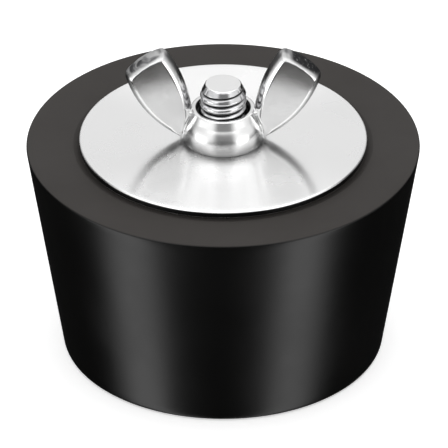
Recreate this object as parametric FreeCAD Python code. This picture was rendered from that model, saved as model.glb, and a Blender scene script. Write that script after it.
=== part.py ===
import FreeCAD, Part
import math
import os

# Rubber expansion plug, in millimetres. Origin at the centre of its base, +Z up, wings along X.
# A carriage bolt and a wing nut squeeze a tapered rubber body between two steel plates,
# and the rubber swells against the pipe that it closes.

# Rubber body
body_height = 31.0
body_top_radius = 27.0
body_base_radius = 21.9
body_rim_fillet = 0.5
body_base_fillet = 0.9

# Steel plates
top_plate_radius = 19.7
top_plate_thickness = 1.0
plate_edge_fillet = 0.3
bottom_plate_radius = 16.0
bottom_plate_thickness = 1.2

# Carriage bolt with a 1/4 in thread of 20 turns to the inch
thread_radius = 3.175
thread_depth = 0.675
thread_pitch = 1.27
thread_length = 19.0
thread_crest_width = 0.34
thread_root_width = 1.1
thread_runout_depth = 0.05
flank_steps = 6
shank_undersize = 0.075
bolt_end_above_nut = 3.65
bolt_end_undersize = 0.05
bolt_end_chamfer = 1.5
head_overhang = 4.2
head_height = 3.4
head_edge_height = 0.6
neck_oversize = 0.05
neck_length = 3.2
neck_corner_fillet = 0.4

# Wing nut hub: a dome under a bevelled rim, with a flared mouth
mouth_flare = 0.545
mouth_depth = 0.6
hub_rim_width = 0.5
hub_bevel_width = 0.5
hub_dome_width = 0.85
hub_foot_inset = 0.15
hub_foot_height = 0.7
hub_shoulder_height = 3.75
hub_height = 4.9
hub_foot_bow = 0.08
hub_dome_bow = 0.25

# Wing nut wings: blades with well rounded edges that lean outwards from the hub
wing_thickness = 3.3
wing_rise = 14.1
wing_tip_reach = 13.45
wing_tip_inner_reach = 8.0
wing_tip_drop = 3.9
wing_tip_bow = 0.6
wing_outer_bow = 1.6
wing_inner_bow = 0.75
wing_corner_fillet = 1.15
wing_edge_fillet = 1.1
wing_root_overlap = 1.2
wing_root_step = 0.8
wing_foot_gap = 0.2
wing_crotch_overlap = 0.1
wing_crotch_rise = 0.3

# Clearances
bolt_hole_clearance = 0.25
nut_bore_clearance = 0.08
neck_clearance = 0.1
neck_pocket_clearance = 0.4
recess_side_clearance = 0.7
head_floor_clearance = 0.7

# Limits for choosing edges, and how far past the thread its cutting envelope stands
edge_tolerance = 1e-4
upright_slope = 0.9
envelope_factor = 1.2

# Radii that follow the bolt
thread_root_radius = thread_radius - thread_depth
shank_radius = thread_radius - shank_undersize
bolt_end_radius = thread_root_radius - bolt_end_undersize
bolt_hole_radius = thread_radius + bolt_hole_clearance
neck_width = 2 * thread_radius + neck_oversize
head_radius = neck_width / 2 + head_overhang
nut_bore_radius = thread_radius + nut_bore_clearance
hub_top_radius = nut_bore_radius + mouth_flare + hub_rim_width
hub_shoulder_radius = hub_top_radius + hub_bevel_width
hub_dome_radius = hub_shoulder_radius + hub_dome_width
hub_foot_radius = hub_dome_radius - hub_foot_inset

# Levels, from the base up
bottom_plate_z = head_floor_clearance + head_height
recess_top_z = bottom_plate_z + bottom_plate_thickness
nut_z = body_height + top_plate_thickness
nut_top_z = nut_z + hub_height
bolt_end_z = nut_top_z + bolt_end_above_nut
thread_start_z = bolt_end_z - thread_length

up = FreeCAD.Vector(0, 0, 1)
centre = FreeCAD.Vector(0, 0, 0)


def at(x, z, y=0.0):
    return FreeCAD.Vector(x, y, z)


def cylinder(radius, height, z):
    return Part.makeCylinder(radius, height, at(0, z))


def revolved(edges):
    """A solid turned about Z from edges in the XZ plane."""
    return Part.Face(Part.Wire(edges)).revolve(centre, up, 360)


def polygon(points):
    """Straight edges through the points, closed."""
    ends = points[1:] + points[:1]
    return [Part.LineSegment(start, end).toShape() for start, end in zip(points, ends)]


def bowed(start, end, bow):
    """An arc whose middle stands out from its chord by bow, to the right of the way it runs."""
    chord = end - start
    side = FreeCAD.Vector(chord.z, 0, -chord.x).normalize()
    middle = (start + end) * 0.5 + side * bow
    return Part.Arc(start, middle, end).toShape()


def ring_edges(solid, radius, z):
    """The circular edges about Z with this radius at this height."""
    found = []
    for edge in solid.Edges:
        curve = edge.Curve
        if isinstance(curve, Part.Circle) and abs(curve.Radius - radius) < edge_tolerance:
            if abs(curve.Center.z - z) < edge_tolerance:
                found.append(edge)
    return found


def make_rubber_body():
    outline = [at(0, 0), at(body_base_radius, 0), at(body_top_radius, body_height), at(0, body_height)]
    body = revolved(polygon(outline))
    body = body.makeFillet(body_rim_fillet, ring_edges(body, body_top_radius, body_height))
    body = body.makeFillet(body_base_fillet, ring_edges(body, body_base_radius, 0))
    recess = cylinder(bottom_plate_radius + recess_side_clearance, recess_top_z, 0)
    bore = cylinder(bolt_hole_radius, body_height, 0)
    neck_pocket_radius = neck_width / math.sqrt(2) + neck_pocket_clearance
    neck_pocket_top = bottom_plate_z + neck_length + neck_pocket_clearance
    neck_pocket = cylinder(neck_pocket_radius, neck_pocket_top, 0)
    return body.cut([recess, bore, neck_pocket])


def make_top_plate():
    plate = cylinder(top_plate_radius, top_plate_thickness, body_height)
    rims = ring_edges(plate, top_plate_radius, nut_z) + ring_edges(plate, top_plate_radius, body_height)
    plate = plate.makeFillet(plate_edge_fillet, rims)
    return plate.cut(cylinder(bolt_hole_radius, top_plate_thickness, body_height))


def square_post(width, height, z, corner):
    post = Part.makeBox(width, width, height, at(-width / 2, z, -width / 2))
    uprights = [edge for edge in post.Edges if abs(edge.tangentAt(edge.FirstParameter).z) > upright_slope]
    return post.makeFillet(corner, uprights)


def make_bottom_plate():
    plate = cylinder(bottom_plate_radius, bottom_plate_thickness, bottom_plate_z)
    rims = ring_edges(plate, bottom_plate_radius, bottom_plate_z)
    plate = plate.makeFillet(plate_edge_fillet, rims)
    hole_width = neck_width + 2 * neck_clearance
    return plate.cut(square_post(hole_width, bottom_plate_thickness, bottom_plate_z, neck_corner_fillet))


def make_bolt_head():
    """A low dome with a short straight edge and a flat underside that bears on the plate."""
    rise = head_height - head_edge_height
    dome_radius = (head_radius ** 2 + rise ** 2) / (2 * rise)
    dome_centre_z = head_floor_clearance + dome_radius
    half_angle = math.asin(head_radius / dome_radius) / 2
    dome_middle = at(dome_radius * math.sin(half_angle), dome_centre_z - dome_radius * math.cos(half_angle))
    crown = at(0, head_floor_clearance)
    edge_low = at(head_radius, head_floor_clearance + rise)
    edge_high = at(head_radius, bottom_plate_z)
    top = at(0, bottom_plate_z)
    return revolved([
        Part.Arc(crown, dome_middle, edge_low).toShape(),
        Part.LineSegment(edge_low, edge_high).toShape(),
        Part.LineSegment(edge_high, top).toShape(),
        Part.LineSegment(top, crown).toShape(),
    ])


def on_circle(radius, angle):
    return at(radius * math.cos(angle), 0, radius * math.sin(angle))


def flank(start_radius, start_angle, end_radius, end_angle):
    """A spiral edge in the XY plane: in a thread cut square to its axis, a straight flank is a spiral."""
    points = []
    for step in range(flank_steps + 1):
        share = step / flank_steps
        radius = start_radius + (end_radius - start_radius) * share
        points.append(on_circle(radius, start_angle + (end_angle - start_angle) * share))
    curve = Part.BSplineCurve()
    curve.interpolate(points)
    return curve.toShape()


def make_thread():
    """The thread's flat cross-section drawn up the axis, turning once in each pitch."""
    crest = math.pi * thread_crest_width / thread_pitch
    root = math.pi * thread_root_width / thread_pitch
    far_root = 2 * math.pi - root
    crest_arc = Part.Arc(
        on_circle(thread_radius, -crest), on_circle(thread_radius, 0), on_circle(thread_radius, crest)
    )
    root_arc = Part.Arc(
        on_circle(thread_root_radius, root), on_circle(thread_root_radius, math.pi),
        on_circle(thread_root_radius, far_root),
    )
    section = Part.Wire([
        crest_arc.toShape(),
        flank(thread_radius, crest, thread_root_radius, root),
        root_arc.toShape(),
        flank(thread_root_radius, far_root, thread_radius, 2 * math.pi - crest),
    ])
    axis = Part.Wire(Part.LineSegment(centre, up * thread_length).toShape())
    helix = Part.Wire(Part.makeHelix(thread_pitch, thread_length, thread_radius))
    sweep = Part.BRepOffsetAPI.MakePipeShell(axis)
    sweep.setAuxiliarySpine(helix, True, 0)
    sweep.add(section, False, False)
    sweep.build()
    sweep.makeSolid()
    thread = sweep.shape()
    thread.translate(at(0, thread_start_z))
    runout_radius = thread_root_radius - thread_runout_depth
    clear_radius = envelope_factor * thread_radius
    chamfer_length = bolt_end_chamfer * (clear_radius - bolt_end_radius) / (thread_radius - bolt_end_radius)
    envelope = revolved(polygon([
        at(0, thread_start_z),
        at(runout_radius, thread_start_z),
        at(clear_radius, thread_start_z + clear_radius - runout_radius),
        at(clear_radius, bolt_end_z - chamfer_length),
        at(bolt_end_radius, bolt_end_z),
        at(0, bolt_end_z),
    ]))
    return thread.common(envelope)


def make_carriage_bolt():
    neck = square_post(neck_width, neck_length, bottom_plate_z, neck_corner_fillet)
    shank = cylinder(shank_radius, thread_start_z - bottom_plate_z, bottom_plate_z)
    return make_bolt_head().fuse([neck, shank, make_thread()])


def make_hub():
    foot = at(hub_foot_radius, nut_z)
    foot_top = at(hub_dome_radius, nut_z + hub_foot_height)
    shoulder = at(hub_shoulder_radius, nut_z + hub_shoulder_height)
    rim = at(hub_top_radius, nut_top_z)
    return revolved([
        Part.LineSegment(at(0, nut_z), foot).toShape(),
        bowed(foot, foot_top, hub_foot_bow),
        bowed(foot_top, shoulder, hub_dome_bow),
        Part.LineSegment(shoulder, rim).toShape(),
        Part.LineSegment(rim, at(0, nut_top_z)).toShape(),
        Part.LineSegment(at(0, nut_top_z), at(0, nut_z)).toShape(),
    ])


def make_wing():
    """The wing on the +X side, with rounded corners and edges outside the hub."""
    low_root = at(hub_foot_radius - wing_root_overlap, nut_z + wing_foot_gap)
    high_root = at(hub_top_radius - wing_crotch_overlap, nut_z + hub_shoulder_height + wing_crotch_rise)
    outer_tip = at(wing_tip_reach, nut_z + wing_rise - wing_tip_drop)
    inner_tip = at(wing_tip_inner_reach, nut_z + wing_rise)
    root_step = high_root - at(wing_root_step, 0)
    outline = Part.Wire([
        bowed(low_root, outer_tip, wing_outer_bow),
        bowed(outer_tip, inner_tip, wing_tip_bow),
        bowed(inner_tip, high_root, wing_inner_bow),
        Part.LineSegment(high_root, root_step).toShape(),
        Part.LineSegment(root_step, low_root).toShape(),
    ])
    outline.translate(at(0, 0, -wing_thickness / 2))
    blade = Part.Face(outline).extrude(at(0, 0, wing_thickness))
    outer_edges = [edge for edge in blade.Edges if edge.CenterOfMass.x > hub_shoulder_radius]
    corners = [edge for edge in outer_edges if abs(edge.CenterOfMass.y) < wing_thickness / 4]
    blade = blade.makeFillet(wing_corner_fillet, corners)
    outer_edges = [edge for edge in blade.Edges if edge.CenterOfMass.x > hub_shoulder_radius]
    rims = [edge for edge in outer_edges if abs(edge.CenterOfMass.y) > wing_thickness / 4]
    return blade.makeFillet(wing_edge_fillet, rims)


def make_wing_nut():
    wing = make_wing()
    other_wing = wing.copy()
    other_wing.rotate(centre, up, 180)
    nut = make_hub().fuse([wing, other_wing])
    bore = cylinder(nut_bore_radius, hub_height, nut_z)
    mouth = Part.makeCone(
        nut_bore_radius, nut_bore_radius + 2 * mouth_flare, 2 * mouth_depth, at(0, nut_top_z - mouth_depth)
    )
    return nut.cut([bore, mouth])


def main():
    os.makedirs("parts", exist_ok=True)
    nodes = {
        "rubber_body": make_rubber_body(),
        "top_plate": make_top_plate(),
        "bottom_plate": make_bottom_plate(),
        "carriage_bolt": make_carriage_bolt(),
        "wing_nut": make_wing_nut(),
    }
    for name, shape in nodes.items():
        shape.exportStep("parts/" + name + ".step")
        print(name, "valid", shape.isValid(), "solids", len(shape.Solids), "volume", round(shape.Volume, 2))


main()
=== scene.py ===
import math
import bmesh
import bpy
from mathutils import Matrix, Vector


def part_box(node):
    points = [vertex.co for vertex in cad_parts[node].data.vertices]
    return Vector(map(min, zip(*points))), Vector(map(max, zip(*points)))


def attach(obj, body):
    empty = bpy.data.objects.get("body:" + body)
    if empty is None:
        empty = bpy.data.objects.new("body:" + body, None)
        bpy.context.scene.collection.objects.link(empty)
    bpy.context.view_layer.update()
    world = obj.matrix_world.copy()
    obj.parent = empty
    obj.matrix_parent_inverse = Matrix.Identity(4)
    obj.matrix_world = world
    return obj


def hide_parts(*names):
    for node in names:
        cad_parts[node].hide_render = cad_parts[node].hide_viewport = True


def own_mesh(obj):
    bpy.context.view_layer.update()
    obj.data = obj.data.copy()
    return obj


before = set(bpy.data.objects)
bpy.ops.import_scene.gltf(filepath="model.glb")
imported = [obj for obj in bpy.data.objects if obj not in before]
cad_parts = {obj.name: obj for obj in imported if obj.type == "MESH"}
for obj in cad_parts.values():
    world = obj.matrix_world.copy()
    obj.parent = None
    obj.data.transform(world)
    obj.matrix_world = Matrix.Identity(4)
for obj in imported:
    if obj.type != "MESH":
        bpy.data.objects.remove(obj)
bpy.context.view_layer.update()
mm = 0.001
print("frame loaded:", len(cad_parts), "nodes")


def finishMesh(name, bm, smooth=True):
    bmesh.ops.recalc_face_normals(bm, faces=bm.faces)
    mesh = bpy.data.meshes.new(name)
    bm.to_mesh(mesh)
    bm.free()
    obj = bpy.data.objects.new(name, mesh)
    bpy.context.scene.collection.objects.link(obj)
    for polygon in mesh.polygons:
        polygon.use_smooth = smooth
    return obj


def roundCorners(corners, step, closed=False, arcSteps=7):
    # corners are (across, up, fillet); straight runs are cut into lengths of about one step
    count = len(corners)
    points = []
    for index, (across, up, fillet) in enumerate(corners):
        here = Vector((across, up))
        isEnd = not closed and index in (0, count - 1)
        if fillet <= 0 or isEnd:
            points.append(here)
            continue
        before = Vector(corners[index - 1][:2]) - here
        after = Vector(corners[(index + 1) % count][:2]) - here
        halfAngle = before.angle(after) / 2
        setBack = fillet / math.tan(halfAngle)
        centre = here + (before.normalized() + after.normalized()).normalized() * fillet / math.sin(halfAngle)
        first = here + before.normalized() * setBack - centre
        turn = math.pi - 2 * halfAngle
        if first.x * (here - centre).y - first.y * (here - centre).x < 0:
            turn = -turn
        for k in range(arcSteps + 1):
            angle = turn * k / arcSteps
            rotated = Vector((first.x * math.cos(angle) - first.y * math.sin(angle),
                              first.x * math.sin(angle) + first.y * math.cos(angle)))
            points.append(centre + rotated)
    spaced = []
    pairs = list(zip(points, points[1:] + points[:1])) if closed else list(zip(points, points[1:]))
    for start, end in pairs:
        pieces = max(1, round((end - start).length / step))
        spaced += [start.lerp(end, k / pieces) for k in range(pieces)]
    if not closed:
        spaced.append(points[-1])
    return spaced


def ringOf(bm, radiusAt, height, segments):
    ring = []
    for k in range(segments):
        angle = 2 * math.pi * k / segments
        radius = radiusAt(angle, height)
        ring.append(bm.verts.new((radius * math.cos(angle), radius * math.sin(angle), height)))
    return ring


def joinRings(bm, rings):
    # a ring that is one vertex many times over closes its neighbour with triangles
    for low, high in zip(rings, rings[1:]):
        for k in range(len(low)):
            after = (k + 1) % len(low)
            corners = []
            for vert in (low[k], low[after], high[after], high[k]):
                if vert not in corners:
                    corners.append(vert)
            bm.faces.new(corners)


def turned(name, outline, segments):
    # spins a closed outline of (radius, height) about Z
    bm = bmesh.new()
    rings = [ringOf(bm, lambda angle, height, r=point.x: r, point.y, segments) for point in outline]
    joinRings(bm, rings + rings[:1])
    return finishMesh(name, bm)


def bowedLine(start, end, bow, steps):
    # points along an arc whose middle stands bow to the right of its chord
    chord = end - start
    side = Vector((chord.y, -chord.x)).normalized()
    points = []
    for k in range(steps):
        share = k / steps
        points.append(start.lerp(end, share) + side * bow * 4 * share * (1 - share))
    return points


def dress(obj, body, node, material):
    obj.data.materials.clear()
    obj.data.materials.append(material)
    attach(obj, body)
    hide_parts(node)


def addNode(tree, kind, inputs=None, **settings):
    node = tree.nodes.new(kind)
    for key, value in settings.items():
        setattr(node, key, value)
    for key, value in (inputs or {}).items():
        if isinstance(value, bpy.types.NodeSocket):
            tree.links.new(value, node.inputs[key])
        else:
            node.inputs[key].default_value = value
    return node


def mathNode(tree, operation, first, second=None, third=None):
    inputs = {0: first}
    if second is not None:
        inputs[1] = second
    if third is not None:
        inputs[2] = third
    return addNode(tree, "ShaderNodeMath", inputs, operation=operation).outputs[0]


def softStep(tree, value, low, high, start=0.0, end=1.0):
    inputs = {"Value": value, "From Min": low, "From Max": high, "To Min": start, "To Max": end}
    return addNode(tree, "ShaderNodeMapRange", inputs, interpolation_type="SMOOTHSTEP").outputs["Result"]


def mixColor(tree, factor, first, second):
    node = addNode(tree, "ShaderNodeMix", data_type="RGBA")
    for name, value in (("Factor", factor), ("A", first), ("B", second)):
        if isinstance(value, bpy.types.NodeSocket):
            tree.links.new(value, node.inputs[name])
        else:
            node.inputs[name].default_value = value
    return node.outputs["Result"]


def newMaterial(name, metallic, roughness, specular=0.5):
    material = bpy.data.materials.new(name)
    material.use_nodes = True
    shader = material.node_tree.nodes["Principled BSDF"]
    shader.inputs["Metallic"].default_value = metallic
    shader.inputs["Roughness"].default_value = roughness
    shader.inputs["Specular IOR Level"].default_value = specular
    return material, material.node_tree, shader


def newGroup(name, inputs, outputs):
    group = bpy.data.node_groups.new(name, "ShaderNodeTree")
    for label, kind, value in inputs:
        socket = group.interface.new_socket(label, in_out="INPUT", socket_type=kind)
        if value is not None:
            socket.default_value = value
    for label, kind in outputs:
        group.interface.new_socket(label, in_out="OUTPUT", socket_type=kind)
    return group, group.nodes.new("NodeGroupInput"), group.nodes.new("NodeGroupOutput")


def placeGroup(tree, group, inputs):
    return addNode(tree, "ShaderNodeGroup", inputs, node_tree=group)


def makeHandlingMarks():
    # smudges and hair scratches: Smudge is a broad 0 to 1 mask, and Normal has the scratches in it
    marks = {"smudgeFrom": 0.38, "smudgeFull": 0.68, "hairWidth": 0.012, "bend": 1.6,
             "patchFrom": 0.5, "patchFull": 0.62, "scratchHeight": 0.03 * mm}
    group, given, result = newGroup(
        "handlingMarks",
        [("Smudge Size", "NodeSocketFloat", 80.0), ("Scratch Size", "NodeSocketFloat", 260.0),
         ("Scratch Depth", "NodeSocketFloat", 0.1)],
        [("Smudge", "NodeSocketFloat"), ("Normal", "NodeSocketVector")],
    )
    place = addNode(group, "ShaderNodeTexCoord").outputs["Object"]
    cloud = addNode(group, "ShaderNodeTexNoise",
                    {"Vector": place, "Scale": given.outputs["Smudge Size"], "Detail": 4.0, "Roughness": 0.6})
    smudge = softStep(group, cloud.outputs["Fac"], marks["smudgeFrom"], marks["smudgeFull"])
    bent = addNode(group, "ShaderNodeTexNoise",
                   {"Vector": place, "Scale": given.outputs["Scratch Size"], "Detail": 2.0,
                    "Distortion": marks["bend"]})
    offMiddle = mathNode(group, "ABSOLUTE", mathNode(group, "SUBTRACT", bent.outputs["Fac"], 0.5))
    thin = softStep(group, offMiddle, 0.0, marks["hairWidth"], 1.0, 0.0)
    patch = softStep(group, cloud.outputs["Fac"], marks["patchFrom"], marks["patchFull"])
    scratch = mathNode(group, "MULTIPLY", thin, patch)
    bump = addNode(group, "ShaderNodeBump",
                   {"Height": scratch, "Strength": given.outputs["Scratch Depth"],
                    "Distance": marks["scratchHeight"]}, invert=True)
    group.links.new(smudge, result.inputs["Smudge"])
    group.links.new(bump.outputs["Normal"], result.inputs["Normal"])
    return group


def makeTurningLines():
    # fine rings about the axis, as a lathe or a spinning buff leaves them
    ringHeight = 0.02 * mm
    group, given, result = newGroup(
        "turningLines",
        [("Rings per Metre", "NodeSocketFloat", 9000.0), ("Depth", "NodeSocketFloat", 0.2),
         ("Normal", "NodeSocketVector", None)],
        [("Ring", "NodeSocketFloat"), ("Normal", "NodeSocketVector")],
    )
    place = addNode(group, "ShaderNodeTexCoord").outputs["Object"]
    flat = addNode(group, "ShaderNodeVectorMath", {0: place, 1: (1, 1, 0)}, operation="MULTIPLY").outputs[0]
    radius = addNode(group, "ShaderNodeVectorMath", {0: flat}, operation="LENGTH").outputs["Value"]
    scaled = mathNode(group, "MULTIPLY", radius, given.outputs["Rings per Metre"])
    line = addNode(group, "ShaderNodeTexNoise", {"W": scaled, "Scale": 1.0, "Detail": 3.0},
                   noise_dimensions="1D")
    bump = addNode(group, "ShaderNodeBump",
                   {"Height": line.outputs["Fac"], "Strength": given.outputs["Depth"], "Distance": ringHeight,
                    "Normal": given.outputs["Normal"]})
    group.links.new(line.outputs["Fac"], result.inputs["Ring"])
    group.links.new(bump.outputs["Normal"], result.inputs["Normal"])
    return group


def brushRound(tree, shader, look):
    # stretches reflections as marks running round the axis do
    shader.inputs["Anisotropic"].default_value = look["brushing"]
    shader.inputs["Anisotropic Rotation"].default_value = look["brushTurn"]
    tangent = addNode(tree, "ShaderNodeTangent", direction_type="RADIAL", axis="Z")
    tree.links.new(tangent.outputs["Tangent"], shader.inputs["Tangent"])


handlingMarks = makeHandlingMarks()
turningLines = makeTurningLines()


def makeMouldedRubber():
    # black rubber: a smooth tapered wall from the mould, and a rougher top face painted paler as painted light
    rubber = {"roughness": 0.3, "topRoughness": 0.22, "smudge": 0.06, "shine": 0.28,
              "topFrom": 0.6, "topFull": 0.95, "brushing": 0.7, "brushTurn": 0.25,
              "cloudScale": 55.0, "skinScale": 2600.0, "grainDepth": 0.12, "grainHeight": 0.04 * mm,
              "wallDark": (0.0012, 0.0012, 0.0012, 1), "wallPale": (0.0026, 0.0025, 0.0024, 1),
              "paintedLitTopDark": (0.0205, 0.0176, 0.0158, 1), "paintedLitTopPale": (0.0385, 0.034, 0.031, 1)}
    material, tree, shader = newMaterial("mouldedRubber", 0.0, rubber["roughness"], rubber["shine"])
    brushRound(tree, shader, rubber)
    geometry = addNode(tree, "ShaderNodeNewGeometry")
    place = addNode(tree, "ShaderNodeTexCoord").outputs["Object"]
    facing = addNode(tree, "ShaderNodeSeparateXYZ", {0: geometry.outputs["Normal"]}).outputs["Z"]
    topLitAndRougher = softStep(tree, facing, rubber["topFrom"], rubber["topFull"])
    cloud = addNode(tree, "ShaderNodeTexNoise",
                    {"Vector": place, "Scale": rubber["cloudScale"], "Detail": 5.0, "Roughness": 0.55})
    wall = mixColor(tree, cloud.outputs["Fac"], rubber["wallDark"], rubber["wallPale"])
    # painted light: the top face is painted paler than the wall, standing in for the light it catches facing up
    top = mixColor(tree, cloud.outputs["Fac"], rubber["paintedLitTopDark"], rubber["paintedLitTopPale"])
    tree.links.new(mixColor(tree, topLitAndRougher, wall, top), shader.inputs["Base Color"])
    marks = placeGroup(tree, handlingMarks, {"Smudge Size": 60.0, "Scratch Size": 180.0, "Scratch Depth": 0.08})
    roughness = mathNode(tree, "MULTIPLY_ADD", marks.outputs["Smudge"], rubber["smudge"], rubber["roughness"])
    roughness = mathNode(tree, "MULTIPLY_ADD", topLitAndRougher, rubber["topRoughness"], roughness)
    tree.links.new(roughness, shader.inputs["Roughness"])
    skin = addNode(tree, "ShaderNodeTexNoise",
                   {"Vector": place, "Scale": rubber["skinScale"], "Detail": 3.0, "Roughness": 0.6})
    skinBump = addNode(tree, "ShaderNodeBump",
                       {"Height": skin.outputs["Fac"], "Strength": rubber["grainDepth"],
                        "Distance": rubber["grainHeight"], "Normal": marks.outputs["Normal"]})
    tree.links.new(skinBump.outputs["Normal"], shader.inputs["Normal"])
    return material


def makeSpunSteel():
    # stainless disc buffed while it spins, with its cut edge painted near black as painted shade
    spun = {"roughness": 0.25, "smudge": 0.04, "brushing": 0.9, "brushTurn": 0.25,
            "cutFrom": 0.25, "cutFull": 0.55, "paintedEdgeShade": (0.035, 0.035, 0.035, 1),
            "dull": (0.9, 0.9, 0.9, 1), "bright": (0.97, 0.97, 0.97, 1)}
    material, tree, shader = newMaterial("spunSteel", 1.0, spun["roughness"])
    marks = placeGroup(tree, handlingMarks,
                       {"Smudge Size": 120.0, "Scratch Size": 300.0, "Scratch Depth": 0.003})
    rings = placeGroup(tree, turningLines,
                       {"Rings per Metre": 7000.0, "Depth": 0.05, "Normal": marks.outputs["Normal"]})
    color = mixColor(tree, rings.outputs["Ring"], spun["dull"], spun["bright"])
    geometry = addNode(tree, "ShaderNodeNewGeometry")
    facing = addNode(tree, "ShaderNodeSeparateXYZ", {0: geometry.outputs["Normal"]}).outputs["Z"]
    # painted shade: the disc's side faces are painted near black, standing in for the shadow line under its
    # edge
    cut = softStep(tree, mathNode(tree, "ABSOLUTE", facing), spun["cutFrom"], spun["cutFull"], 1.0, 0.0)
    color = mixColor(tree, cut, color, spun["paintedEdgeShade"])
    tree.links.new(color, shader.inputs["Base Color"])
    roughness = mathNode(tree, "MULTIPLY_ADD", marks.outputs["Smudge"], spun["smudge"], spun["roughness"])
    tree.links.new(roughness, shader.inputs["Roughness"])
    tree.links.new(rings.outputs["Normal"], shader.inputs["Normal"])
    brushRound(tree, shader, spun)
    return material


def makeCastSteel():
    # polished casting: satin flats on the wings, rough as cast on their ends; painted shade inside the mouth,
    # towards the hub's foot and on the wings' narrow sides
    cast = {"roughness": 0.2, "smudge": 0.05, "satin": 0.12, "flatPolish": -0.14, "endRoughness": 0.3,
            "flatFrom": 1.4 * mm, "flatFull": 1.58 * mm, "hubRadius": 5.9 * mm, "wingBlend": 1 * mm,
            "sideFrom": 0.55, "sideFull": 0.92, "outwardFull": 0.4,
            "endSlope": (0.582, 0.813), "endFrom": 41.9 * mm, "endFull": 42.3 * mm,
            "patchFrom": 8.9 * mm, "patchFull": 9.7 * mm,
            "mouthRadius": 3.74 * mm, "mouthBlend": 0.08 * mm,
            "streakScale": 420.0, "streakFrom": 0.36, "streakFull": 0.62,
            "pitScale": 2400.0, "pitFrom": 0.54, "pitFull": 0.8, "pitDepth": 0.7,
            "waveScale": 420.0, "waveDepth": 0.06, "reliefHeight": 0.1 * mm,
            "bright": (0.84, 0.84, 0.84, 1), "dull": (0.79, 0.79, 0.79, 1), "mouth": (0.03, 0.03, 0.03, 1),
            "footHeight": 32.05 * mm, "footFade": 2.0 * mm, "footShade": 0.8,
            "outerSideShade": (0.22, 0.22, 0.22, 1), "innerSideShade": (0.5, 0.5, 0.5, 1),
            "castPale": (0.55, 0.55, 0.55, 1), "castDark": (0.1, 0.1, 0.105, 1),
            "patch": (0.04, 0.04, 0.042, 1)}
    material, tree, shader = newMaterial("castSteel", 1.0, cast["roughness"])
    place = addNode(tree, "ShaderNodeTexCoord").outputs["Object"]
    parts = addNode(tree, "ShaderNodeSeparateXYZ", {0: place})
    across = mathNode(tree, "ABSOLUTE", parts.outputs["X"])
    flat = addNode(tree, "ShaderNodeVectorMath", {0: place, 1: (1, 1, 0)}, operation="MULTIPLY").outputs[0]
    radius = addNode(tree, "ShaderNodeVectorMath", {0: flat}, operation="LENGTH").outputs["Value"]
    marks = placeGroup(tree, handlingMarks,
                       {"Smudge Size": 200.0, "Scratch Size": 300.0, "Scratch Depth": 0.02})

    # the wings outside the hub, and their flats
    wings = softStep(tree, radius, cast["hubRadius"], cast["hubRadius"] + cast["wingBlend"])
    depth = mathNode(tree, "ABSOLUTE", parts.outputs["Y"])
    flats = mathNode(tree, "MULTIPLY", softStep(tree, depth, cast["flatFrom"], cast["flatFull"]), wings)

    # the sloping ends of the wings
    alongX = mathNode(tree, "MULTIPLY", across, cast["endSlope"][0])
    reach = mathNode(tree, "MULTIPLY_ADD", parts.outputs["Z"], cast["endSlope"][1], alongX)
    ends = softStep(tree, reach, cast["endFrom"], cast["endFull"])
    ends = mathNode(tree, "MULTIPLY", ends, mathNode(tree, "SUBTRACT", 1.0, flats))
    pits = addNode(tree, "ShaderNodeTexNoise",
                   {"Vector": place, "Scale": cast["pitScale"], "Detail": 4.0, "Roughness": 0.7})
    streaks = addNode(tree, "ShaderNodeTexNoise",
                      {"Vector": place, "Scale": cast["streakScale"], "Detail": 3.0, "Distortion": 1.0})
    patch = softStep(tree, parts.outputs["X"], cast["patchFrom"], cast["patchFull"])
    streak = softStep(tree, streaks.outputs["Fac"], cast["streakFrom"], cast["streakFull"])
    castColor = mixColor(tree, streak, cast["castDark"], cast["castPale"])
    pit = softStep(tree, pits.outputs["Fac"], cast["pitFrom"], cast["pitFull"])
    patchColor = mixColor(tree, pit, cast["patch"], cast["castPale"])
    castColor = mixColor(tree, patch, castColor, patchColor)

    # the narrow sides between the flats, less polished than them and painted darker as painted shade, the outer
    # sides darkest
    facing = addNode(tree, "ShaderNodeSeparateXYZ", {0: addNode(tree, "ShaderNodeTexCoord").outputs["Normal"]})
    outward = mathNode(tree, "MULTIPLY", facing.outputs["X"], mathNode(tree, "SIGN", parts.outputs["X"]))
    outer = softStep(tree, outward, 0.0, cast["outwardFull"])
    paintedSideShade = mixColor(tree, outer, cast["innerSideShade"], cast["outerSideShade"])
    facingY = mathNode(tree, "ABSOLUTE", facing.outputs["Y"])
    turnedAway = softStep(tree, facingY, cast["sideFrom"], cast["sideFull"], 1.0, 0.0)
    sides = mathNode(tree, "MULTIPLY", wings, turnedAway)

    polished = mixColor(tree, marks.outputs["Smudge"], cast["bright"], cast["dull"])
    # painted shade: the narrow sides take the darker side colours
    polished = mixColor(tree, sides, polished, paintedSideShade)
    color = mixColor(tree, ends, polished, castColor)
    # painted shade: the mouth, and the hub towards its foot where it stands on the disc, are painted towards
    # the near-black mouth colour
    mouthEnd = cast["mouthRadius"] + cast["mouthBlend"]
    footEnd = cast["footHeight"] + cast["footFade"]
    inMouth = softStep(tree, radius, cast["mouthRadius"], mouthEnd, 1.0, 0.0)
    atFoot = softStep(tree, parts.outputs["Z"], cast["footHeight"], footEnd, 1.0, 0.0)
    dark = mathNode(tree, "MAXIMUM", inMouth, mathNode(tree, "MULTIPLY", atFoot, cast["footShade"]))
    tree.links.new(mixColor(tree, dark, color, cast["mouth"]), shader.inputs["Base Color"])

    roughness = mathNode(tree, "MULTIPLY_ADD", marks.outputs["Smudge"], cast["smudge"], cast["roughness"])
    roughness = mathNode(tree, "MULTIPLY_ADD", wings, cast["satin"], roughness)
    roughness = mathNode(tree, "MULTIPLY_ADD", flats, cast["flatPolish"], roughness)
    roughness = mathNode(tree, "MULTIPLY_ADD", ends, cast["endRoughness"], roughness)
    tree.links.new(roughness, shader.inputs["Roughness"])

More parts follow.
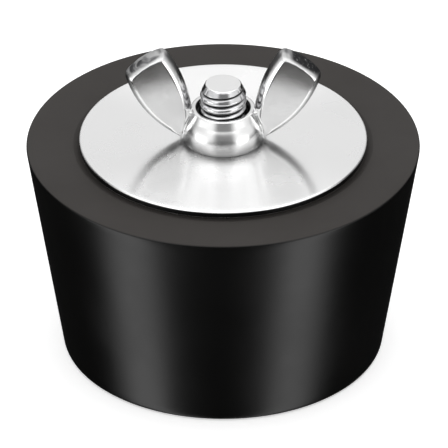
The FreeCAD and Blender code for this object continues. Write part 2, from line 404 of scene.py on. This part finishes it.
    waves = addNode(tree, "ShaderNodeTexNoise", {"Vector": place, "Scale": cast["waveScale"], "Detail": 1.0})
    wavesBump = addNode(tree, "ShaderNodeBump",
                        {"Height": waves.outputs["Fac"], "Strength": cast["waveDepth"],
                         "Distance": cast["reliefHeight"], "Normal": marks.outputs["Normal"]})
    pitHeight = mathNode(tree, "MULTIPLY", pits.outputs["Fac"], ends)
    pitsBump = addNode(tree, "ShaderNodeBump",
                       {"Height": pitHeight, "Strength": cast["pitDepth"],
                        "Distance": cast["reliefHeight"], "Normal": wavesBump.outputs["Normal"]})
    tree.links.new(pitsBump.outputs["Normal"], shader.inputs["Normal"])
    return material


def makeRolledSteel():
    # bolt steel burnished by the thread rolls, with painted shade and a rougher finish in the thread's root
    rolled = {"roughness": 0.15, "smudge": 0.06, "rootRoughness": 0.2, "pitch": 1.27 * mm,
              "threadStart": 21.55 * mm, "threadBlend": 1 * mm, "end": 40.55 * mm, "endBand": 0.15 * mm,
              "rootShadeFrom": 0.66, "rootShadeFull": 0.9, "bright": (0.68, 0.68, 0.69, 1), "dull": (0.5, 0.5, 0.51, 1),
              "rootShade": (0.035, 0.035, 0.035, 1), "cut": (0.93, 0.93, 0.93, 1), "cutBand": 0.04 * mm}
    material, tree, shader = newMaterial("rolledSteel", 1.0, rolled["roughness"])
    place = addNode(tree, "ShaderNodeTexCoord").outputs["Object"]
    parts = addNode(tree, "ShaderNodeSeparateXYZ", {0: place})
    marks = placeGroup(tree, handlingMarks, {"Smudge Size": 240.0, "Scratch Size": 600.0, "Scratch Depth": 0.1})
    rings = placeGroup(tree, turningLines,
                       {"Rings per Metre": 5000.0, "Depth": 0.1, "Normal": marks.outputs["Normal"]})

    # 0 on the thread's crest and 1 in its root, followed round the helix
    turn = mathNode(tree, "ARCTAN2", parts.outputs["Y"], parts.outputs["X"])
    rise = mathNode(tree, "SUBTRACT", parts.outputs["Z"], rolled["threadStart"])
    rise = mathNode(tree, "DIVIDE", rise, rolled["pitch"])
    phase = mathNode(tree, "MULTIPLY_ADD", turn, -1 / (2 * math.pi), rise)
    fromCrest = mathNode(tree, "MULTIPLY", mathNode(tree, "PINGPONG", phase, 0.5), 2.0)
    root = softStep(tree, fromCrest, rolled["rootShadeFrom"], rolled["rootShadeFull"])
    height = parts.outputs["Z"]
    aboveStart = softStep(tree, height, rolled["threadStart"], rolled["threadStart"] + rolled["threadBlend"])
    bandLow = rolled["end"] - 2 * rolled["endBand"]
    belowEnd = softStep(tree, height, bandLow, bandLow + rolled["endBand"], 1.0, 0.0)
    threaded = mathNode(tree, "MULTIPLY", aboveStart, belowEnd)
    # painted shade: the thread's root is painted near black, standing in for the shade in the groove
    rootShade = mathNode(tree, "MULTIPLY", root, threaded)
    color = mixColor(tree, marks.outputs["Smudge"], rolled["bright"], rolled["dull"])
    cutLow = rolled["end"] - 2 * rolled["cutBand"]
    cutEnd = softStep(tree, height, cutLow, cutLow + rolled["cutBand"])
    color = mixColor(tree, cutEnd, color, rolled["cut"])
    tree.links.new(mixColor(tree, rootShade, color, rolled["rootShade"]), shader.inputs["Base Color"])
    roughness = mathNode(tree, "MULTIPLY_ADD", marks.outputs["Smudge"], rolled["smudge"], rolled["roughness"])
    roughness = mathNode(tree, "MULTIPLY_ADD", rootShade, rolled["rootRoughness"], roughness)
    tree.links.new(roughness, shader.inputs["Roughness"])
    tree.links.new(rings.outputs["Normal"], shader.inputs["Normal"])
    return material


mouldedRubber = makeMouldedRubber()
spunSteel = makeSpunSteel()
castSteel = makeCastSteel()
rolledSteel = makeRolledSteel()
print("materials made")


def makeRubberBody():
    low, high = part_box("rubber_body")
    plateLow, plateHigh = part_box("bottom_plate")
    body = {"topRadius": 26.95 * mm, "baseRadius": 21.9 * mm, "rim": 0.25 * mm, "base": 0.9 * mm,
            "recessRadius": 16.7 * mm, "recessRound": 0.3 * mm, "boreRadius": 3.425 * mm,
            "grooveRadius": 20.5 * mm, "grooveDepth": 0.28 * mm, "grooveRound": 0.3 * mm,
            "grooveFloor": 0.2 * mm, "grooveInset": 0.1 * mm, "grooveWidth": 0.8 * mm,
            "step": 0.9 * mm, "segments": 192, "compressed": 4.128 * mm}
    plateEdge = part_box("top_plate")[1].x  # the rubber gives way in a groove under this edge
    corners = [
        (body["boreRadius"], plateHigh.z, 0),
        (body["recessRadius"], plateHigh.z, body["recessRound"]),
        (body["recessRadius"], low.z, body["recessRound"]),
        (body["baseRadius"], low.z, body["base"]),
        (body["topRadius"], high.z, body["rim"]),
        (body["grooveRadius"], high.z, body["grooveRound"]),
        (plateEdge - body["grooveInset"], high.z - body["grooveDepth"], body["grooveFloor"]),
        (plateEdge - body["grooveWidth"], high.z, 0),
        (body["boreRadius"], high.z, 0),
    ]
    outline = roundCorners(corners, body["step"])
    rubber = turned("rubberBody", outline, body["segments"])
    dress(rubber, "plug", "rubber_body", mouldedRubber)
    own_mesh(rubber)


def makePlate(name, node, body, material, shape):
    low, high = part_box(node)
    outer = high.x
    corners = [
        (shape["holeRadius"], high.z, shape["holeEdge"]),
        (outer, high.z, shape["topEdge"]),
        (outer, low.z, shape["lowEdge"]),
        (shape["holeRadius"], low.z, shape["holeEdge"]),
    ]
    outline = roundCorners(corners, shape["step"], closed=True)
    plate = turned(name, outline, shape["segments"])
    dress(plate, body, node, material)


def makePlates():
    topPlate = {"holeRadius": 3.425 * mm, "holeEdge": 0.1 * mm, "topEdge": 0.28 * mm, "lowEdge": 0.28 * mm,
                "step": 0.7 * mm, "segments": 256}
    bottomPlate = {"holeRadius": 3.3 * mm, "holeEdge": 0.1 * mm, "topEdge": 0.15 * mm, "lowEdge": 0.28 * mm,
                   "step": 0.8 * mm, "segments": 192}
    makePlate("topPlate", "top_plate", "plate", spunSteel, topPlate)
    makePlate("bottomPlate", "bottom_plate", "plug", spunSteel, bottomPlate)


def makeBolt():
    low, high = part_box("carriage_bolt")
    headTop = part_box("bottom_plate")[0].z
    bolt = {"radius": 3.175 * mm, "rootRadius": 2.5 * mm, "pitch": 1.27 * mm, "threadLength": 19.0 * mm,
            "shankRadius": 3.1 * mm, "endRadius": 2.45 * mm, "endChamfer": 1.5 * mm, "headRadius": 7.4 * mm,
            "headEdge": 0.6 * mm, "neckWidth": 6.4 * mm, "neckLength": 3.2 * mm,
            "headRound": 0.1 * mm, "crestPower": 3, "neckPower": 8, "endRounding": 0.12 * mm,
            "segments": 128, "rowsPerPitch": 24, "headRows": 18, "endRows": 5, "capRings": (0.92, 0.6, 0.3)}
    threadStart = high.z - bolt["threadLength"]

    def threadRadius(angle, height):
        phase = ((height - threadStart) / bolt["pitch"] - angle / (2 * math.pi)) % 1.0
        fromCrest = min(phase, 1.0 - phase) * 2
        depth = bolt["radius"] - bolt["rootRadius"]
        radius = bolt["radius"] - depth * fromCrest ** bolt["crestPower"]
        slope = (bolt["radius"] - bolt["endRadius"]) / bolt["endChamfer"]
        chamfer = bolt["endRadius"] + (high.z - height) * slope
        runout = bolt["rootRadius"] + (height - threadStart)
        return min(radius, chamfer, max(runout, bolt["rootRadius"]))

    def neckRadius(angle, height):
        # a square with rounded corners
        across = abs(math.cos(angle)) ** bolt["neckPower"] + abs(math.sin(angle)) ** bolt["neckPower"]
        return bolt["neckWidth"] / 2 / across ** (1 / bolt["neckPower"])

    # rows of (radius at an angle and height, height), from the domed head up to the end
    rise = headTop - bolt["headEdge"] - low.z
    sphere = (bolt["headRadius"] ** 2 + rise ** 2) / (2 * rise)
    rows = []
    for k in range(1, bolt["headRows"] + 1):
        angle = math.asin(bolt["headRadius"] / sphere) * k / bolt["headRows"]
        rows.append((lambda a, h, r=sphere * math.sin(angle): r, low.z + sphere * (1 - math.cos(angle))))
    rows.append((lambda a, h: bolt["headRadius"], headTop - bolt["headRound"]))
    rows.append((lambda a, h: bolt["headRadius"] - bolt["headRound"], headTop))
    rows.append((neckRadius, headTop))
    rows.append((neckRadius, headTop + bolt["neckLength"]))
    rows.append((lambda a, h: bolt["shankRadius"], headTop + bolt["neckLength"]))
    rows.append((lambda a, h: bolt["shankRadius"], threadStart))
    rowHeight = bolt["pitch"] / bolt["rowsPerPitch"]
    count = round(bolt["threadLength"] / rowHeight)
    for k in range(count):
        height = threadStart + bolt["threadLength"] * k / count
        if height < high.z - bolt["endRounding"]:
            rows.append((threadRadius, height))
    bm = bmesh.new()
    rings = [[bm.verts.new((0, 0, low.z))] * bolt["segments"]]
    for radiusAt, height in rows:
        rings.append(ringOf(bm, radiusAt, height, bolt["segments"]))
    for k in range(1, bolt["endRows"] + 1):
        angle = math.pi / 2 * k / bolt["endRows"]
        inset = bolt["endRounding"] * (1 - math.cos(angle))
        height = high.z - bolt["endRounding"] * (1 - math.sin(angle))
        rings.append(ringOf(bm, lambda a, h: bolt["endRadius"] - inset, height, bolt["segments"]))
    for share in bolt["capRings"]:
        rings.append(ringOf(bm, lambda a, h: (bolt["endRadius"] - bolt["endRounding"]) * share, high.z,
                            bolt["segments"]))
    rings.append([bm.verts.new((0, 0, high.z))] * bolt["segments"])
    joinRings(bm, rings)
    boltPiece = finishMesh("carriageBolt", bm)
    dress(boltPiece, "plug", "carriage_bolt", rolledSteel)


def makeWing(side, wing, foot):
    # layers across the thickness, each drawn in from the widest by the sides' round
    lowRoot = Vector((wing["lowRoot"], wing["footGap"]))
    highRoot = Vector((wing["highRoot"], wing["crotch"]))
    outerTip = Vector((wing["reach"], wing["rise"] - wing["drop"]))
    innerTip = Vector((wing["innerReach"], wing["rise"]))
    outerSteps, tipSteps, innerSteps = wing["steps"]
    sides = [(lowRoot, outerTip, wing["outerBow"], outerSteps), (outerTip, innerTip, wing["tipBow"], tipSteps),
             (innerTip, highRoot, wing["innerBow"], innerSteps)]
    corners = []
    for start, end, bow, steps in sides:
        for k, point in enumerate(bowedLine(start, end, bow, steps)):
            isTip = k == 0 and start is not lowRoot
            corners.append((point.x, point.y, wing["corner"] if isTip else 0))
    corners.append((highRoot.x, highRoot.y, 0))
    widest = roundCorners(corners, wing["step"], closed=True, arcSteps=wing["arcSteps"])
    count = len(widest)
    outward = []
    for k in range(count):
        along = widest[(k + 1) % count] - widest[k - 1]
        outward.append(Vector((along.y, -along.x)).normalized())
    halfThickness = wing["thickness"] / 2
    roundRadius = (wing["round"] ** 2 + halfThickness ** 2) / (2 * wing["round"])
    fullAngle = math.asin(halfThickness / roundRadius)
    bm = bmesh.new()
    layers = []
    for k in range(wing["layers"] + 1):
        angle = fullAngle * (2 * k / wing["layers"] - 1)
        inset = roundRadius * (1 - math.cos(angle))
        layer = []
        for point, normal in zip(widest, outward):
            place = point - normal * inset
            layer.append(bm.verts.new((side * place.x, roundRadius * math.sin(angle), foot + place.y)))
        layers.append(layer)
    joinRings(bm, layers)
    bm.faces.new(layers[0])
    bm.faces.new(layers[-1])
    bmesh.ops.recalc_face_normals(bm, faces=bm.faces)
    return bm


def makeWingNut():
    low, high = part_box("wing_nut")
    nut = {"bore": 3.255 * mm, "mouth": 3.8 * mm, "top": 4.3 * mm, "shoulder": 4.8 * mm, "dome": 5.65 * mm,
           "foot": 5.5 * mm, "height": 4.9 * mm, "shoulderHeight": 3.75 * mm, "footHeight": 0.7 * mm,
           "mouthDepth": 0.6 * mm, "domeBow": 0.25 * mm, "footRound": 0.15 * mm, "shoulderRound": 0.35 * mm,
           "rimRound": 0.16 * mm, "step": 0.3 * mm, "domeSteps": 12, "arcSteps": 4, "segments": 160,
           "voxel": 0.09 * mm, "smoothing": 4}
    wing = {"thickness": 3.3 * mm, "rise": 14.1 * mm, "reach": 13.45 * mm, "innerReach": 8.0 * mm,
            "drop": 3.9 * mm, "tipBow": 0.6 * mm, "outerBow": 1.45 * mm, "innerBow": 0.75 * mm,
            "corner": 1.15 * mm, "round": 0.95 * mm, "lowRoot": 5.1 * mm, "footGap": 0.08 * mm,
            "highRoot": 4.2 * mm, "crotch": 4.05 * mm, "step": 0.35 * mm, "steps": (12, 5, 9), "arcSteps": 8,
            "layers": 14}
    foot = low.z
    dome = bowedLine(Vector((nut["dome"], nut["footHeight"])), Vector((nut["shoulder"], nut["shoulderHeight"])),
                     nut["domeBow"], nut["domeSteps"])
    corners = [(nut["bore"], foot, 0), (nut["foot"], foot, nut["footRound"])]
    corners += [(p.x, foot + p.y, 0) for p in dome]
    corners += [
        (nut["shoulder"], foot + nut["shoulderHeight"], nut["shoulderRound"]),
        (nut["top"], foot + nut["height"], nut["rimRound"]),
        (nut["mouth"], foot + nut["height"], nut["rimRound"]),
        (nut["bore"], foot + nut["height"] - nut["mouthDepth"], 0),
    ]
    outline = roundCorners(corners, nut["step"], closed=True, arcSteps=nut["arcSteps"])
    hub = turned("wingNut", outline, nut["segments"])
    bm = bmesh.new()
    bm.from_mesh(hub.data)
    for side in (-1, 1):
        wingMesh = makeWing(side, wing, foot)
        part = bpy.data.meshes.new("wing")
        wingMesh.to_mesh(part)
        wingMesh.free()
        bm.from_mesh(part)
    bm.to_mesh(hub.data)
    bm.free()
    remesh = hub.modifiers.new("remesh", "REMESH")
    remesh.mode = "VOXEL"
    remesh.voxel_size = nut["voxel"]
    smooth = hub.modifiers.new("smooth", "SMOOTH")
    smooth.factor = 0.5
    smooth.iterations = nut["smoothing"]
    settle(hub)
    dress(hub, "nut", "wing_nut", castSteel)


def settle(obj):
    # swaps the object's mesh for the one its modifiers give
    evaluated = obj.evaluated_get(bpy.context.evaluated_depsgraph_get())
    mesh = bpy.data.meshes.new_from_object(evaluated)
    obj.modifiers.clear()
    obj.data = mesh
    for polygon in mesh.polygons:
        polygon.use_smooth = True


def makeStudio():
    studio = {"floorSize": 4.0, "floorDrop": 0.02 * mm, "floorColor": (0.95, 0.95, 0.95, 1), "floorGlow": 0.4,
              "skyStrength": 1.08,
              "aim": (0.12 * mm, 0.0, 18.1 * mm), "elevation": 31.5, "distance": 1.62, "viewWidth": 61.5 * mm}
    bm = bmesh.new()
    half = studio["floorSize"] / 2
    corners = ((-half, -half), (half, -half), (half, half), (-half, half))
    bm.faces.new([bm.verts.new((x, y, -studio["floorDrop"])) for x, y in corners])
    floor = finishMesh("studioFloor", bm, smooth=False)
    material, tree, shader = newMaterial("paleFloor", 0.0, 0.9, 0.2)
    shader.inputs["Base Color"].default_value = studio["floorColor"]
    shader.inputs["Emission Color"].default_value = (1, 1, 1, 1)
    shader.inputs["Emission Strength"].default_value = studio["floorGlow"]
    # seen from below, the floor isn't there
    below = addNode(tree, "ShaderNodeNewGeometry").outputs["Backfacing"]
    clear = addNode(tree, "ShaderNodeBsdfTransparent")
    surface = addNode(tree, "ShaderNodeMixShader", {0: below, 1: shader.outputs[0], 2: clear.outputs[0]})
    tree.links.new(surface.outputs[0], tree.nodes["Material Output"].inputs["Surface"])
    floor.data.materials.append(material)
    floor.visible_glossy = False

    camera = bpy.data.objects.new("camera", bpy.data.cameras.new("camera"))
    bpy.context.scene.collection.objects.link(camera)
    bpy.context.scene.camera = camera
    elevation = math.radians(studio["elevation"])
    back = Vector((0, -math.cos(elevation), math.sin(elevation)))
    camera.location = Vector(studio["aim"]) + back * studio["distance"]
    camera.rotation_euler = (math.pi / 2 - elevation, 0, 0)
    camera.data.lens = camera.data.sensor_width * studio["distance"] / studio["viewWidth"]
    camera.data.clip_start = 0.01
    camera.data.clip_end = 20.0
    makeSky(studio)
    bpy.context.scene.view_settings.view_transform = "Standard"


def makeSky(studio):
    # an even white room for soft light; in reflections it is dark, with windows of light.
    # angles in degrees: turn is measured from the front, wide is half the width, soft its fading edge,
    # low and high are heights above the horizon, fade their soft edge
    darkRoom = 0.01
    windows = [
        {"turn": -64, "wide": 8, "soft": 16, "low": -80, "high": -5, "fade": 15, "light": 2.9},
        {"turn": 55, "wide": 8, "soft": 16, "low": -80, "high": -5, "fade": 15, "light": 2.9},
        {"turn": -60, "wide": 24, "soft": 20, "low": 5, "high": 50, "fade": 15, "light": 0.95},
        {"turn": 66, "wide": 24, "soft": 20, "low": 5, "high": 50, "fade": 15, "light": 1.0},
        {"turn": 180, "wide": 8, "soft": 70, "low": 12, "high": 75, "fade": 14, "light": 0.82},
        {"turn": 0, "wide": 180, "soft": 1, "low": 58, "high": 78, "fade": 20, "light": 1.15},
        {"turn": 0, "wide": 32, "soft": 35, "low": 31, "high": 56, "fade": 7, "light": 0.95},
        {"turn": 0, "wide": 40, "soft": 30, "low": 8, "high": 24, "fade": 7, "light": 0.22},
        {"turn": 0, "wide": 40, "soft": 30, "low": -28, "high": 1, "fade": 7, "light": 0.09},
    ]
    world = bpy.data.worlds.new("studio")
    bpy.context.scene.world = world
    world.use_nodes = True
    tree = world.node_tree
    background = tree.nodes["Background"]
    direction = addNode(tree, "ShaderNodeTexCoord").outputs["Generated"]
    parts = addNode(tree, "ShaderNodeSeparateXYZ", {0: direction})
    toFront = mathNode(tree, "MULTIPLY", parts.outputs["Y"], -1.0)
    azimuth = mathNode(tree, "ARCTAN2", parts.outputs["X"], toFront)
    azimuth = mathNode(tree, "MULTIPLY", azimuth, 180 / math.pi)
    elevation = mathNode(tree, "MULTIPLY", mathNode(tree, "ARCSINE", parts.outputs["Z"]), 180 / math.pi)
    total = darkRoom
    for window in windows:
        away = mathNode(tree, "SUBTRACT", azimuth, float(window["turn"]))
        away = mathNode(tree, "ABSOLUTE", mathNode(tree, "WRAP", away, 180.0, -180.0))
        across = softStep(tree, away, window["wide"], window["wide"] + window["soft"], 1.0, 0.0)
        above = softStep(tree, elevation, window["low"] - window["fade"], window["low"])
        below = softStep(tree, elevation, window["high"], window["high"] + window["fade"], 1.0, 0.0)
        lit = mathNode(tree, "MULTIPLY", mathNode(tree, "MULTIPLY", above, below), across)
        total = mathNode(tree, "MULTIPLY_ADD", lit, window["light"], total)
    isGlossy = addNode(tree, "ShaderNodeLightPath").outputs["Is Glossy Ray"]
    level = addNode(tree, "ShaderNodeMix", {0: isGlossy, 2: studio["skyStrength"], 3: total}).outputs[0]
    tree.links.new(level, background.inputs["Strength"])
    background.inputs["Color"].default_value = (1, 1, 1, 1)


makeRubberBody()
makePlates()
makeBolt()
makeWingNut()
print("pieces made")
makeStudio()
print("studio made")
